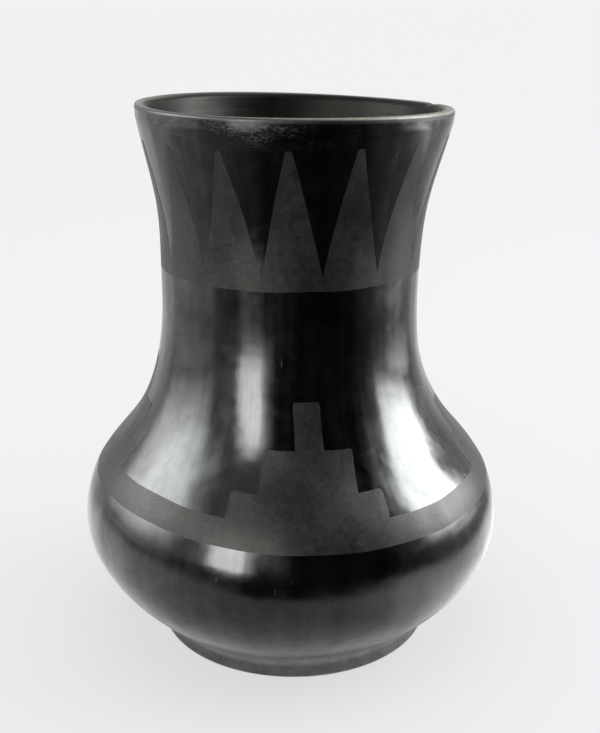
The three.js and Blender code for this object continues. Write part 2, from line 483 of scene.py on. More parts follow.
def toothBand():
    pitch = fullTurn / teeth["count"]
    piece = flatSheet("tooth_band_slip_paint", pitch, teeth["bottom"], teeth["valley"], teeth["columns"], 4)
    atTip = teeth["tipWidth"] * slip["flatRadius"] / radiusAt(outside, teeth["tip"])
    roundingRise = 1.9 * mm
    shoulder = teeth["tip"] - roundingRise
    bpy.ops.object.mode_set(mode="EDIT")
    selectTop(piece, teeth["columns"] // 2, teeth["valley"])
    raiseTop(shoulder - teeth["valley"], atTip / pitch, teeth["lean"])
    for rise, narrow in ((0.45, 0.93), (0.3, 0.8), (0.17, 0.66), (0.08, 0.4)):
        raiseTop(rise * roundingRise, narrow)
    divideRise(piece, teeth["valley"], shoulder, teeth["rows"])
    bpy.ops.object.mode_set(mode="OBJECT")
    repeatAround(piece, teeth["count"])
    wrapRound(piece, paintedWander)
    thicken(piece)
    return piece


motif = {
    "count": 4,
    "bottom": 82 * mm,
    "top": 92.3 * mm,
    "turn": math.radians(5.7),
    "rise": 1.7 * mm,
    # slow waves of the ring's height and of where its motifs stand: size, turns, start
    "climb": [(1.5 * mm, 1, -2.64), (2.0 * mm, 2, -2.42), (0.4 * mm, 3, 0)],
    "stray": [(math.radians(1.6), 1, -1.57), (math.radians(1.2), 2, 1.9)],
    "cornerRounding": 1.7 * mm,
    # each step: half its angle, its rise, and how its upper edge widens and shifts
    "steps": [
        {"half": 23, "rise": 9.8 * mm, "widen": 1.01, "shift": 0.6, "rows": 5},
        {"half": 15, "rise": 16.6 * mm, "widen": 1.03, "shift": 1.3, "rows": 8},
        {"half": 5, "rise": 19.6 * mm, "widen": 1.04, "shift": -0.3, "rows": 10},
    ],
}


def motifWander(around, z):
    # the ring climbs at the left and sags at the right of the front, and its edges wobble
    wobble = np.sin(8 * around + z / (8 * mm)) + 0.7 * np.sin(17 * around - z / (11 * mm) + 2)
    climb = sum(size * np.sin(turns * around + start) for size, turns, start in motif["climb"])
    small = 0.2 * np.sin(6 * around) + 0.14 * np.sin(15 * around + 1)
    stray = sum(size * np.sin(turns * around + start) for size, turns, start in motif["stray"])
    around = around + motif["turn"] + stray + wobble * 0.2 * mm / pot["bellyRadius"]
    # the motif at the right has a taller lowest step
    taller = 3.5 * mm * np.exp(-((z - 104 * mm) / (8 * mm)) ** 2) * np.clip(np.sin(around), 0, 1) ** 2
    return around, z + motif["rise"] + climb + small * mm + taller


def selectCorners(piece, height):
    # both ends of the edge that lies at this height
    mesh = bmesh.from_edit_mesh(piece.data)
    row = sorted((v for v in mesh.verts if abs(v.co.z - height) < 0.05 * mm), key=lambda v: v.co.x)
    for v in mesh.verts:
        v.select_set(v in (row[0], row[-1]))
    mesh.select_flush_mode()
    bmesh.update_edit_mesh(piece.data)


def steppedBand():
    quarter = 360 // motif["count"]
    piece = flatSheet("stepped_band_slip_paint", flat(quarter), motif["bottom"], motif["top"], quarter, 6)
    bpy.ops.object.mode_set(mode="EDIT")
    level = motif["top"]
    for step in motif["steps"]:
        selectTop(piece, step["half"], level)
        raiseTop(step["rise"], step["widen"], flat(step["shift"]))
        divideRise(piece, level, level + step["rise"], step["rows"])
        level += step["rise"]
    level = motif["top"]
    for step in motif["steps"]:
        level += step["rise"]
        selectCorners(piece, level)
        bpy.ops.mesh.bevel(offset=motif["cornerRounding"], segments=3, affect="VERTICES")
    bpy.ops.object.mode_set(mode="OBJECT")
    repeatAround(piece, motif["count"])
    wrapRound(piece, motifWander)
    thicken(piece)
    return piece


# ---- materials

def addNode(tree, kind, values=None, **settings):
    made = tree.nodes.new(kind)
    for key, value in settings.items():
        setattr(made, key, value)
    for key, value in (values or {}).items():
        made.inputs[key].default_value = value
    return made


def newGroup(name, values, masks):
    # each group is told the place on the pot and a few values, and puts out masks
    tree = bpy.data.node_groups.new(name, "ShaderNodeTree")
    tree.interface.new_socket("Vector", in_out="INPUT", socket_type="NodeSocketVector")
    for label, value in values.items():
        socket = tree.interface.new_socket(label, in_out="INPUT", socket_type="NodeSocketFloat")
        socket.default_value = value
    for label in masks:
        tree.interface.new_socket(label, in_out="OUTPUT", socket_type="NodeSocketFloat")
    given, made = tree.nodes.new("NodeGroupInput"), tree.nodes.new("NodeGroupOutput")
    return tree, given.outputs, made.inputs, tree.links.new


def mathNode(tree, operation, a, b=None, c=None):
    made = addNode(tree, "ShaderNodeMath", operation=operation)
    for k, value in enumerate((a, b, c)):
        if value is None:
            continue
        if isinstance(value, (int, float)):
            made.inputs[k].default_value = value
        else:
            tree.links.new(value, made.inputs[k])
    return made.outputs[0]


def times(tree, a, b):
    return mathNode(tree, "MULTIPLY", a, b)


def larger(tree, a, b):
    return mathNode(tree, "MAXIMUM", a, b)


def mixMasks(tree, a, b, share):
    # so much of a, and the rest of b
    return mathNode(tree, "ADD", times(tree, a, share), times(tree, b, 1 - share))


def rangeNode(tree, value, low, high, toLow=0.0, toHigh=1.0):
    made = addNode(tree, "ShaderNodeMapRange", {1: low, 2: high, 3: toLow, 4: toHigh}, clamp=True)
    tree.links.new(value, made.inputs[0])
    return made.outputs[0]


def noiseNode(tree, vector, scale, detail=3.0, roughness=0.5, distortion=0.0):
    made = addNode(tree, "ShaderNodeTexNoise",
                   {"Detail": detail, "Roughness": roughness, "Distortion": distortion})
    if isinstance(scale, (int, float)):
        made.inputs["Scale"].default_value = scale
    else:
        tree.links.new(scale, made.inputs["Scale"])
    tree.links.new(vector, made.inputs["Vector"])
    return made.outputs["Fac"]


def uprightStreaks():
    # fine marks that run up and down the wall, as the polishing stone leaves them
    tree, given, made, link = newGroup(
        "upright streaks", {"Streaks": 900.0, "Length": 0.05}, ["Height", "Patches"])
    parts = addNode(tree, "ShaderNodeSeparateXYZ")
    link(given["Vector"], parts.inputs[0])
    level = addNode(tree, "ShaderNodeCombineXYZ")
    link(parts.outputs[0], level.inputs[0])
    link(parts.outputs[1], level.inputs[1])
    ring = addNode(tree, "ShaderNodeVectorMath", operation="NORMALIZE")
    link(level.outputs[0], ring.inputs[0])
    sized = addNode(tree, "ShaderNodeVectorMath", {"Scale": 0.075}, operation="SCALE")
    link(ring.outputs[0], sized.inputs[0])
    upright = addNode(tree, "ShaderNodeSeparateXYZ")
    link(sized.outputs[0], upright.inputs[0])
    squashed = times(tree, parts.outputs[2], given["Length"])
    vector = addNode(tree, "ShaderNodeCombineXYZ")
    link(upright.outputs[0], vector.inputs[0])
    link(upright.outputs[1], vector.inputs[1])
    link(squashed, vector.inputs[2])
    fine = noiseNode(tree, vector.outputs[0], given["Streaks"], 4, 0.65)
    broadScale = times(tree, given["Streaks"], 0.22)
    broad = noiseNode(tree, vector.outputs[0], broadScale, 3, 0.55)
    link(mixMasks(tree, fine, broad, 0.4), made["Height"])
    link(rangeNode(tree, broad, 0.38, 0.66), made["Patches"])
    return tree


def handlingScuffs():
    # dry rubbed patches and dust, gathered into loose clouds with scratched grain in them
    tree, given, made, link = newGroup(
        "handling scuffs", {"Patch Size": 26.0, "Amount": 0.5}, ["Mask", "Specks"])
    clouds = noiseNode(tree, given["Vector"], given["Patch Size"], 4, 0.6, 0.4)
    grainScale = times(tree, given["Patch Size"], 28)
    grain = noiseNode(tree, given["Vector"], grainScale, 5, 0.7)
    floor = mathNode(tree, "SUBTRACT", 0.78, times(tree, given["Amount"], 0.3))
    patches = times(tree, mathNode(tree, "SUBTRACT", clouds, floor), 7)
    broken = times(tree, patches, rangeNode(tree, grain, 0.35, 0.7))
    link(rangeNode(tree, broken, 0, 1), made["Mask"])
    speckScale = times(tree, given["Patch Size"], 12)
    specks = addNode(tree, "ShaderNodeTexVoronoi", {"Randomness": 1.0}, feature="F1")
    link(given["Vector"], specks.inputs["Vector"])
    link(speckScale, specks.inputs["Scale"])
    link(rangeNode(tree, specks.outputs["Distance"], 0.035, 0.09, 1, 0), made["Specks"])
    return tree


def clayPits():
    # small holes where grit was dragged out
    tree, given, made, link = newGroup("clay pits", {"Scale": 55.0, "Size": 0.05}, ["Depth"])
    warp = addNode(tree, "ShaderNodeTexNoise", {"Scale": 700.0, "Detail": 2.0})
    link(given["Vector"], warp.inputs["Vector"])
    bent = addNode(tree, "ShaderNodeVectorMath", {"Scale": 0.0012}, operation="SCALE")
    link(warp.outputs["Color"], bent.inputs[0])
    moved = addNode(tree, "ShaderNodeVectorMath", operation="ADD")
    link(given["Vector"], moved.inputs[0])
    link(bent.outputs[0], moved.inputs[1])
    cells = addNode(tree, "ShaderNodeTexVoronoi", {"Randomness": 1.0}, feature="F1")
    link(moved.outputs[0], cells.inputs["Vector"])
    link(given["Scale"], cells.inputs["Scale"])
    chosen = addNode(tree, "ShaderNodeSeparateColor")
    link(cells.outputs["Color"], chosen.inputs[0])
    few = rangeNode(tree, chosen.outputs[0], 0.80, 0.82)
    inner = times(tree, given["Size"], 0.45)
    near = addNode(tree, "ShaderNodeMapRange", clamp=True)
    link(cells.outputs["Distance"], near.inputs[0])
    link(inner, near.inputs[1])
    link(given["Size"], near.inputs[2])
    near.inputs[3].default_value = 1
    near.inputs[4].default_value = 0
    link(times(tree, near.outputs[0], few), made["Depth"])
    return tree


# heights below the crown, and places across the pot, between which each mark fades
rimMarks = {
    "wornAndHighlight": (0.15 * mm, 0.75 * mm),
    "dull": (1.4 * mm, 2.6 * mm),
    "rubbedFrom": (1.6 * mm, 2.6 * mm),
    "rubbedTo": (8 * mm, 15 * mm),
    "carried": (22 * mm, -14 * mm),
    "front": (45 * mm, -5 * mm),
}


def rimWear():
    # the lip has lost its polish on top, and its pale top is partly wear, partly a painted highlight; hands
    # have rubbed the clay just below it
    tree, given, made, link = newGroup(
        "rim wear", {"Crown": 0.26, "Tilt": 0.02}, ["Worn", "Scuffed", "Dull"])
    parts = addNode(tree, "ShaderNodeSeparateXYZ")
    link(given["Vector"], parts.inputs[0])
    level = mathNode(tree, "MULTIPLY_ADD", parts.outputs[0], given["Tilt"], parts.outputs[2])
    below = mathNode(tree, "SUBTRACT", given["Crown"], level)
    wide = addNode(tree, "ShaderNodeMapping", {"Scale": (1, 1, 3.2)})
    link(given["Vector"], wide.inputs["Vector"])
    ragged = noiseNode(tree, wide.outputs[0], 520, 6, 0.78)
    patchy = noiseNode(tree, wide.outputs[0], 45, 4, 0.65)
    top = rangeNode(tree, below, *rimMarks["wornAndHighlight"], 1, 0)
    # the pale top is painted stronger on the side towards the viewer: partly wear, partly a painted
    # highlight
    front = rangeNode(tree, parts.outputs[1], *rimMarks["front"], 0.2, 1)
    wornAndLitTop = times(tree, front, rangeNode(tree, ragged, 0.30, 0.56, 0.3, 1))
    link(times(tree, top, wornAndLitTop), made["Worn"])
    link(rangeNode(tree, below, *rimMarks["dull"], 1, 0), made["Dull"])
    start = rangeNode(tree, below, *rimMarks["rubbedFrom"])
    end = rangeNode(tree, below, *rimMarks["rubbedTo"], 1, 0)
    zone = times(tree, start, end)
    # most of it where the right hand holds the pot when it is carried
    handled = rangeNode(tree, parts.outputs[0], *rimMarks["carried"], 0.3, 1)
    broken = times(tree, rangeNode(tree, patchy, 0.42, 0.60), rangeNode(tree, ragged, 0.47, 0.62))
    broken = times(tree, broken, handled)
    link(times(tree, zone, broken), made["Scuffed"])
    return tree


def fineScratches():
    # short hair-thin scratches, all leaning nearly the same way
    tree, given, made, link = newGroup(
        "fine scratches", {"Fineness": 900.0, "Rarity": 0.74}, ["Mask"])
    leaning = addNode(tree, "ShaderNodeMapping", {"Rotation": (0.22, 0.3, 0), "Scale": (1, 1, 0.035)})
    link(given["Vector"], leaning.inputs["Vector"])
    lines = noiseNode(tree, leaning.outputs[0], given["Fineness"], 1, 0.5)
    breaks = noiseNode(tree, given["Vector"], 60, 2, 0.5)
    shown = rangeNode(tree, breaks, 0.52, 0.6)
    line = addNode(tree, "ShaderNodeMapRange", {3: 0.0, 4: 1.0}, clamp=True)
    link(lines, line.inputs[0])
    link(given["Rarity"], line.inputs[1])
    link(mathNode(tree, "ADD", given["Rarity"], 0.04), line.inputs[2])
    link(times(tree, line.outputs[0], shown), made["Mask"])
    return tree


# heights above the table between which each mark begins or fades
footMarks = {
    "ragged": 7 * mm,
    "dusty": (6 * mm, 16 * mm),
    "dull": (14 * mm, 34 * mm),
    "creaseHighlightFrom": (6.5 * mm, 9 * mm),
    "creaseHighlightTo": (14 * mm, 24 * mm),
    "nicksFrom": (3.5 * mm, 4.5 * mm),
    "nicksTo": (7.5 * mm, 9.5 * mm),
    "acrossPot": (-45 * mm, 45 * mm),  # painted lighter towards the right, a painted highlight from the window light on that side, on top of the dust
}


def footWear():
    # the foot is hardly burnished, and dust and scrapes gather where it stands; the dust is painted lighter
    # on the right, as a painted highlight
    tree, given, made, link = newGroup("foot wear", {}, ["Dusty", "Dull", "Crease Highlight", "Nicks"])
    parts = addNode(tree, "ShaderNodeSeparateXYZ")
    link(given["Vector"], parts.inputs[0])
    uneven = noiseNode(tree, given["Vector"], 130, 5, 0.7)
    height = parts.outputs[2]
    level = mathNode(tree, "MULTIPLY_ADD", uneven, -footMarks["ragged"], height)
    low = rangeNode(tree, level, *footMarks["dusty"], 1, 0)
    dusty = times(tree, low, rangeNode(tree, uneven, 0.3, 0.65, 0.35, 0.9))
    # stronger towards the right: a painted highlight where the window light falls
    litRight = rangeNode(tree, parts.outputs[0], *footMarks["acrossPot"], 0.55, 1.1)
    link(times(tree, dusty, litRight), made["Dusty"])
    link(rangeNode(tree, height, *footMarks["dull"], 1, 0), made["Dull"])
    # a pale painted highlight along the corner where the belly springs from the foot, lifting the shade
    # there
    creaseHighlight = times(tree, rangeNode(tree, height, *footMarks["creaseHighlightFrom"]),
                   rangeNode(tree, height, *footMarks["creaseHighlightTo"], 1, 0))
    creaseHighlight = times(tree, creaseHighlight, rangeNode(tree, uneven, 0.3, 0.6, 0.5, 1))
    link(creaseHighlight, made["Crease Highlight"])
    # short level nicks where the clay dragged when the foot was trimmed
    flatter = addNode(tree, "ShaderNodeMapping", {"Scale": (1, 1, 4.5)})
    link(given["Vector"], flatter.inputs["Vector"])
    dashes = rangeNode(tree, noiseNode(tree, flatter.outputs[0], 330, 3, 0.6), 0.60, 0.66)
    some = rangeNode(tree, noiseNode(tree, given["Vector"], 28, 2, 0.5), 0.50, 0.58)
    zone = times(tree, rangeNode(tree, height, *footMarks["nicksFrom"]),
                 rangeNode(tree, height, *footMarks["nicksTo"], 1, 0))
    link(times(tree, times(tree, dashes, some), zone), made["Nicks"])
    return tree


marks = {
    "rim": rimWear(), "foot": footWear(), "scratches": fineScratches(),
    "streaks": uprightStreaks(), "scuffs": handlingScuffs(), "pits": clayPits(),
}


def placeGroup(tree, group, vector, **values):
    made = addNode(tree, "ShaderNodeGroup", node_tree=group)
    tree.links.new(vector, made.inputs["Vector"])
    for key, value in values.items():
        made.inputs[key].default_value = value
    return made


def rimMasks(tree, place):
    tilt = hand["rimTilt"] / pot["mouthRadius"]
    return placeGroup(tree, marks["rim"], place, Crown=pot["height"], Tilt=tilt)


def newMaterial(name, ior, tint):
    material = bpy.data.materials.new(name)
    material.use_nodes = True
    tree = material.node_tree
    shader = tree.nodes["Principled BSDF"]
    shader.inputs["IOR"].default_value = ior
    shader.inputs["Specular Tint"].default_value = (*tint, 1)
    place = tree.nodes.new("ShaderNodeTexCoord").outputs["Object"]
    return material, tree, shader, place


def mixColour(tree, factor, first, second):
    made = addNode(tree, "ShaderNodeMix", data_type="RGBA")
    tree.links.new(factor, made.inputs["Factor"])
    for socket, value in ((made.inputs["A"], first), (made.inputs["B"], second)):
        socket = next(s for s in made.inputs if s.name == socket.name and s.type == "RGBA")
        if isinstance(value, tuple):
            socket.default_value = (*value, 1)
        else:
            tree.links.new(value, socket)
    return next(s for s in made.outputs if s.type == "RGBA")


def bumpNode(tree, height, strength, distance, normal=None):
    made = addNode(tree, "ShaderNodeBump", {"Strength": strength, "Distance": distance})
    tree.links.new(height, made.inputs["Height"])
    if normal is not None:
        tree.links.new(normal, made.inputs["Normal"])
    return made.outputs["Normal"]


burnish = {
    "ior": 1.395,
    "coat": 0.30,
    "coatIor": 1.40,
    "coatRoughness": 0.14,
    "deep": (0.0005, 0.0006, 0.0008),
    "warm": (0.0018, 0.0016, 0.0013),
    "dust": (0.05, 0.052, 0.048),
    # pale lip top: partly wear, partly a painted highlight
    "wornAndHighlight": (0.27, 0.26, 0.20),
    "foot": (0.12, 0.122, 0.116),
    # painted highlight in the crease above the foot
    "creaseHighlight": (0.26, 0.26, 0.245),
    "sheen": (0.94, 0.985, 1.0),
    "smooth": 0.10,
    "dull": 0.18,
}

# how much rougher each mark makes the burnish
roughMarks = {
    "strokes": 0.05, "blotches": 0.07, "scuffs": 0.2, "pits": 0.4, "hairs": 0.2,
    "rubbedRim": 0.34, "wornHighlightRim": 0.12, "lipEdge": 0.30, "foot": 0.30,
}


def burnishedClay():
    material, tree, shader, place = newMaterial("burnished_clay", burnish["ior"], burnish["sheen"])
    link = tree.links.new
    streaks = placeGroup(tree, marks["streaks"], place, Streaks=850.0, Length=0.045)
    scuffs = placeGroup(tree, marks["scuffs"], place, Amount=0.42, **{"Patch Size": 24.0})
    pits = placeGroup(tree, marks["pits"], place, Scale=48.0, Size=0.045)
    wear = rimMasks(tree, place)
    clouds = noiseNode(tree, place, 22, 4, 0.6, 0.3)
    blotches = noiseNode(tree, place, 95, 5, 0.65, 0.6)
    hairs = placeGroup(tree, marks["scratches"], place, Fineness=900.0, Rarity=0.77)
    colour = mixColour(tree, rangeNode(tree, clouds, 0.36, 0.68), burnish["deep"], burnish["warm"])
    dusty = times(tree, scuffs.outputs["Mask"], 0.3)
    specks = times(tree, scuffs.outputs["Specks"], 0.25)
    rubbed = times(tree, wear.outputs["Scuffed"], 0.4)
    standing = placeGroup(tree, marks["foot"], place)
    # foot dust, painted lighter towards the right as a painted highlight
    colour = mixColour(tree, standing.outputs["Dusty"], colour, burnish["foot"])
    # pale colour painted into the crease as a painted highlight, lifting its shade
    creaseHighlightShare = times(tree, standing.outputs["Crease Highlight"], 0.42)
    colour = mixColour(tree, creaseHighlightShare, colour, burnish["creaseHighlight"])
    nicked = times(tree, standing.outputs["Nicks"], 0.8)
    colour = mixColour(tree, nicked, colour, burnish["deep"])
    dusty = larger(tree, larger(tree, dusty, specks), rubbed)
    colour = mixColour(tree, dusty, colour, burnish["dust"])
    # pale lip top, partly wear and partly a painted highlight
    colour = mixColour(tree, times(tree, wear.outputs["Worn"], 0.8), colour, burnish["wornAndHighlight"])
    link(colour, shader.inputs["Base Color"])
    # the burnish is stronger along some strokes of the stone than along others
    smears = mixMasks(tree, blotches, streaks.outputs["Height"], 0.5)
    link(rangeNode(tree, smears, 0.42, 0.58, 0, burnish["coat"]), shader.inputs["Coat Weight"])
    shader.inputs["Coat IOR"].default_value = burnish["coatIor"]
    shader.inputs["Coat Roughness"].default_value = burnish["coatRoughness"]
    rough = rangeNode(tree, clouds, 0.35, 0.7, burnish["smooth"], burnish["dull"])
    masks = {
        "strokes": streaks.outputs["Patches"], "blotches": rangeNode(tree, blotches, 0.4, 0.7),
        "scuffs": scuffs.outputs["Mask"], "pits": pits.outputs["Depth"], "hairs": hairs.outputs["Mask"],
        "rubbedRim": wear.outputs["Scuffed"], "wornHighlightRim": wear.outputs["Worn"],
        "lipEdge": wear.outputs["Dull"], "foot": standing.outputs["Dull"],
    }
    for mark, mask in masks.items():
        rough = mathNode(tree, "ADD", rough, times(tree, mask, roughMarks[mark]))
    link(rough, shader.inputs["Roughness"])
    waves = noiseNode(tree, place, 52, 2, 0.5)
    normal = bumpNode(tree, waves, 0.55, 0.5 * mm)
    normal = bumpNode(tree, streaks.outputs["Height"], 0.4, 0.06 * mm, normal)
    normal = bumpNode(tree, wear.outputs["Scuffed"], 0.25, 0.08 * mm, normal)
    cut = larger(tree, pits.outputs["Depth"], hairs.outputs["Mask"])
    hollow = mathNode(tree, "SUBTRACT", 1.0, larger(tree, cut, standing.outputs["Nicks"]))
    normal = bumpNode(tree, hollow, 0.6, 0.25 * mm, normal)
    link(normal, shader.inputs["Normal"])
    return material


matt = {
    "ior": 1.27,
    "coat": 0.40,
    "coatIor": 1.30,
    "coatRoughness": 0.42,
    "dark": (0.0034, 0.0038, 0.0038),
    "light": (0.0124, 0.0122, 0.0105),
    "rubbed": (0.045, 0.045, 0.042),
    "sheen": (1.0, 1.0, 0.965),
}


def mattSlip():
    material, tree, shader, place = newMaterial("matt_slip", matt["ior"], matt["sheen"])
    link = tree.links.new
    scuffs = placeGroup(tree, marks["scuffs"], place, Amount=0.5, **{"Patch Size": 42.0})
    streaks = placeGroup(tree, marks["streaks"], place, Streaks=420.0, Length=0.35)
    hairs = placeGroup(tree, marks["scratches"], place, Fineness=700.0, Rarity=0.70)
    clouds = noiseNode(tree, place, 46, 6, 0.68, 0.5)
    mottle = noiseNode(tree, place, 260, 5, 0.7, 0.4)
    grain = noiseNode(tree, place, 1100, 4, 0.7)
    both = mixMasks(tree, clouds, mottle, 0.62)
    colour = mixColour(tree, rangeNode(tree, both, 0.43, 0.58), matt["dark"], matt["light"])
    rubbed = times(tree, scuffs.outputs["Mask"], 0.35)
    rubbed = larger(tree, rubbed, times(tree, scuffs.outputs["Specks"], 0.4))
    rubbed = larger(tree, rubbed, times(tree, rangeNode(tree, grain, 0.56, 0.74), 0.12))
    colour = mixColour(tree, rubbed, colour, matt["rubbed"])
    link(colour, shader.inputs["Base Color"])
    # grains that stand proud have been rubbed smoother than the rest
    link(rangeNode(tree, grain, 0.38, 0.64, 0, matt["coat"]), shader.inputs["Coat Weight"])
    shader.inputs["Coat IOR"].default_value = matt["coatIor"]
    shader.inputs["Coat Roughness"].default_value = matt["coatRoughness"]
    rough = rangeNode(tree, both, 0.36, 0.66, 0.36, 0.52)
    rough = mathNode(tree, "SUBTRACT", rough, times(tree, streaks.outputs["Patches"], 0.04))
    rough = mathNode(tree, "SUBTRACT", rough, times(tree, hairs.outputs["Mask"], 0.12))
    link(rough, shader.inputs["Roughness"])
    normal = bumpNode(tree, grain, 0.7, 0.10 * mm)
    normal = bumpNode(tree, mottle, 0.3, 0.12 * mm, normal)
    normal = bumpNode(tree, streaks.outputs["Height"], 0.25, 0.05 * mm, normal)
    cut = mathNode(tree, "SUBTRACT", 1.0, hairs.outputs["Mask"])
    normal = bumpNode(tree, cut, 0.5, 0.06 * mm, normal)
    link(normal, shader.inputs["Normal"])
    return material


scraped = {
    "ior": 1.18,
    "dark": (0.0022, 0.0021, 0.0019),
    "light": (0.0085, 0.0082, 0.0070),
    "dust": (0.06, 0.057, 0.048),
    "sheen": (1.0, 0.99, 0.93),
}


def scrapedClay():
    material, tree, shader, place = newMaterial("scraped_clay", scraped["ior"], scraped["sheen"])
    link = tree.links.new
    scuffs = placeGroup(tree, marks["scuffs"], place, Amount=0.62, **{"Patch Size": 30.0})
    pits = placeGroup(tree, marks["pits"], place, Scale=130.0, Size=0.12)
    clouds = noiseNode(tree, place, 38, 5, 0.6, 0.4)
    level = addNode(tree, "ShaderNodeMapping", {"Scale": (40, 40, 900)})
    link(place, level.inputs["Vector"])
    scrapes = noiseNode(tree, level.outputs[0], 1.0, 4, 0.7)
    colour = mixColour(tree, rangeNode(tree, clouds, 0.34, 0.68), scraped["dark"], scraped["light"])
    colour = mixColour(tree, times(tree, scuffs.outputs["Mask"], 0.5), colour, scraped["dust"])
    wear = rimMasks(tree, place)
    # pale lip top, partly wear and partly a painted highlight
    colour = mixColour(tree, times(tree, wear.outputs["Worn"], 0.8), colour, burnish["wornAndHighlight"])
    link(colour, shader.inputs["Base Color"])
    scraping = rangeNode(tree, scrapes, 0.3, 0.7, 0.34, 0.46)
    rough = mathNode(tree, "ADD", scraping, rangeNode(tree, clouds, 0.3, 0.7, 0, 0.12))
    link(rough, shader.inputs["Roughness"])
    normal = bumpNode(tree, scrapes, 0.35, 0.16 * mm)
    normal = bumpNode(tree, clouds, 0.4, 0.3 * mm, normal)
    hollow = mathNode(tree, "SUBTRACT", 1.0, pits.outputs["Depth"])
    normal = bumpNode(tree, hollow, 0.7, 0.35 * mm, normal)
    link(normal, shader.inputs["Normal"])
    return material


materials = {"burnished": burnishedClay(), "matt": mattSlip(), "scraped": scrapedClay()}
print("materials mixed:", ", ".join(materials))


def finishClay(piece, mixed=True):
    # the potter burnishes the outside and only scrapes the inside
    piece.data.materials.clear()
    piece.data.materials.append(materials["burnished"])
    if mixed:
        piece.data.materials.append(materials["scraped"])
    for face in piece.data.polygons:
        face.use_smooth = True
        radius = math.hypot(face.center.x, face.center.y)
        inner = radius < radiusAt(outside, face.center.z) - 0.45 * pot["wall"]
        face.material_index = 1 if mixed and inner else 0


def smoothOver(piece):
    # soft everywhere but at the seams and at the edges of the slip
    chooseOnly(piece)
    bpy.ops.object.shade_smooth_by_angle(angle=math.radians(40))


# ---- building the pot

built = {
    footRing(): ["foot_ring"],
    floorSlab(): ["base_slab"],
    bellyWall(): ["belly_coil_1", "belly_coil_2", "belly_coil_3"],
    wallPiece("shoulder_neck_clay", seams["shoulder"], seams["mouth"]):
        ["shoulder_coil_1", "shoulder_coil_2", "neck_coil_1", "neck_coil_2"],
    wallPiece("mouth_clay", seams["mouth"], seams["rim"]): ["mouth_coil_1", "mouth_coil_2"],
    rimCoil(): ["rim_coil"],
}
print("clay drawn up:", len(built), "pieces")
painted = {toothBand(): "tooth_band_slip", steppedBand(): "stepped_band_slip"}
print("slip wrapped round:", len(painted), "bands")

for piece, nodes in built.items():
    finishClay(piece)
    unevenByHand(piece)
    smoothOver(piece)
    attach(piece, "root")
    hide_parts(*nodes)

slab = next(piece for piece in built if piece.name.startswith("floor_slab"))
slab.data.materials.clear()
slab.data.materials.append(materials["scraped"])

for piece, node in painted.items():
    piece.data.materials.append(materials["matt"])
    for face in piece.data.polygons:
        face.use_smooth = True
    unevenByHand(piece)
    smoothOver(piece)
    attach(piece, "root")
    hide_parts(node)

print("triangles:", {p.name: sum(len(f.vertices) - 2 for f in p.data.polygons) for p in [*built, *painted]})


# ---- table, lights and camera

studio = {
    "room": 0.91,
    "tableColour": 0.32,
    "tableGlow": 0.578,  # a light table, so shadows stay pale
    "sideLight": 9,
    "sweepRadius": 2.3,
    "cardDistance": 1.5,
    "darkness": 0.003,
}


def plainMaterial(name, colour, glow=0.0):
    material = bpy.data.materials.new(name)
    material.use_nodes = True
    shader = material.node_tree.nodes["Principled BSDF"]
    shader.inputs["Base Color"].default_value = (colour, colour, colour, 1)
    shader.inputs["Roughness"].default_value = 1
    shader.inputs["Specular IOR Level"].default_value = 0
    shader.inputs["Emission Color"].default_value = (1, 1, 1, 1)
    shader.inputs["Emission Strength"].default_value = glow
    return material


def newGlow(name, place):
    # a bare glow, and where on the card or the table each point of it lies
    material = bpy.data.materials.new(name)
    material.use_nodes = True
    tree = material.node_tree
    tree.nodes.clear()
    made = tree.nodes.new("ShaderNodeOutputMaterial")
    glow = addNode(tree, "ShaderNodeEmission")
    parts = addNode(tree, "ShaderNodeSeparateXYZ")
    tree.links.new(tree.nodes.new("ShaderNodeTexCoord").outputs[place], parts.inputs[0])
    return material, tree, made.inputs["Surface"], glow, parts.outputs


def glowMaterial(light):
    # a light that fades towards its edges
    material, tree, surface, glow, parts = newGlow(light["name"], "UV")
    link = tree.links.new
    sides = rangeNode(tree, mathNode(tree, "PINGPONG", parts[0], 0.5), 0, light["softSides"])
    low = rangeNode(tree, parts[1], 0, light["softLow"])
    high = rangeNode(tree, parts[1], 1 - light["softHigh"], 1, 1, 0)
    fade = times(tree, times(tree, sides, low), high)
    glow.inputs["Color"].default_value = (*light["colour"], 1)
    glow.inputs["Strength"].default_value = light["strength"]
    clear = tree.nodes.new("ShaderNodeBsdfTransparent")
    mixed = tree.nodes.new("ShaderNodeMixShader")
    link(fade, mixed.inputs[0])
    link(clear.outputs[0], mixed.inputs[1])
    link(glow.outputs[0], mixed.inputs[2])
    link(mixed.outputs[0], surface)
    return material


def reflectedOnly(card):
    card.visible_camera = False
    card.visible_diffuse = False
    card.visible_shadow = False
    card.visible_transmission = False


def placeCard(name, azimuth, distance, height, lean, width, length, material):
    # azimuth 0 is the viewer's side and grows to the right
    a = math.radians(azimuth)
    bpy.ops.object.select_all(action="DESELECT")
    bpy.ops.mesh.primitive_plane_add(
        size=1, location=(distance * math.sin(a), -distance * math.cos(a), height),
        rotation=(lean, 0, a))
    card = bpy.context.object
    card.name = name
    card.scale = (width, length, 1)
    card.data.materials.append(material)
    reflectedOnly(card)


def hangCard(name, azimuth, distance, width, low, high, material):
    # an upright card facing the pot
    placeCard(name, azimuth, distance, (low + high) / 2, math.pi / 2, width, high - low, material)


def layCard(name, azimuth, near, far, width, material):
    # a card lying on the table, its length pointing away from the pot
    placeCard(name, azimuth, (near + far) / 2, 0.003, 0, width, far - near, material)


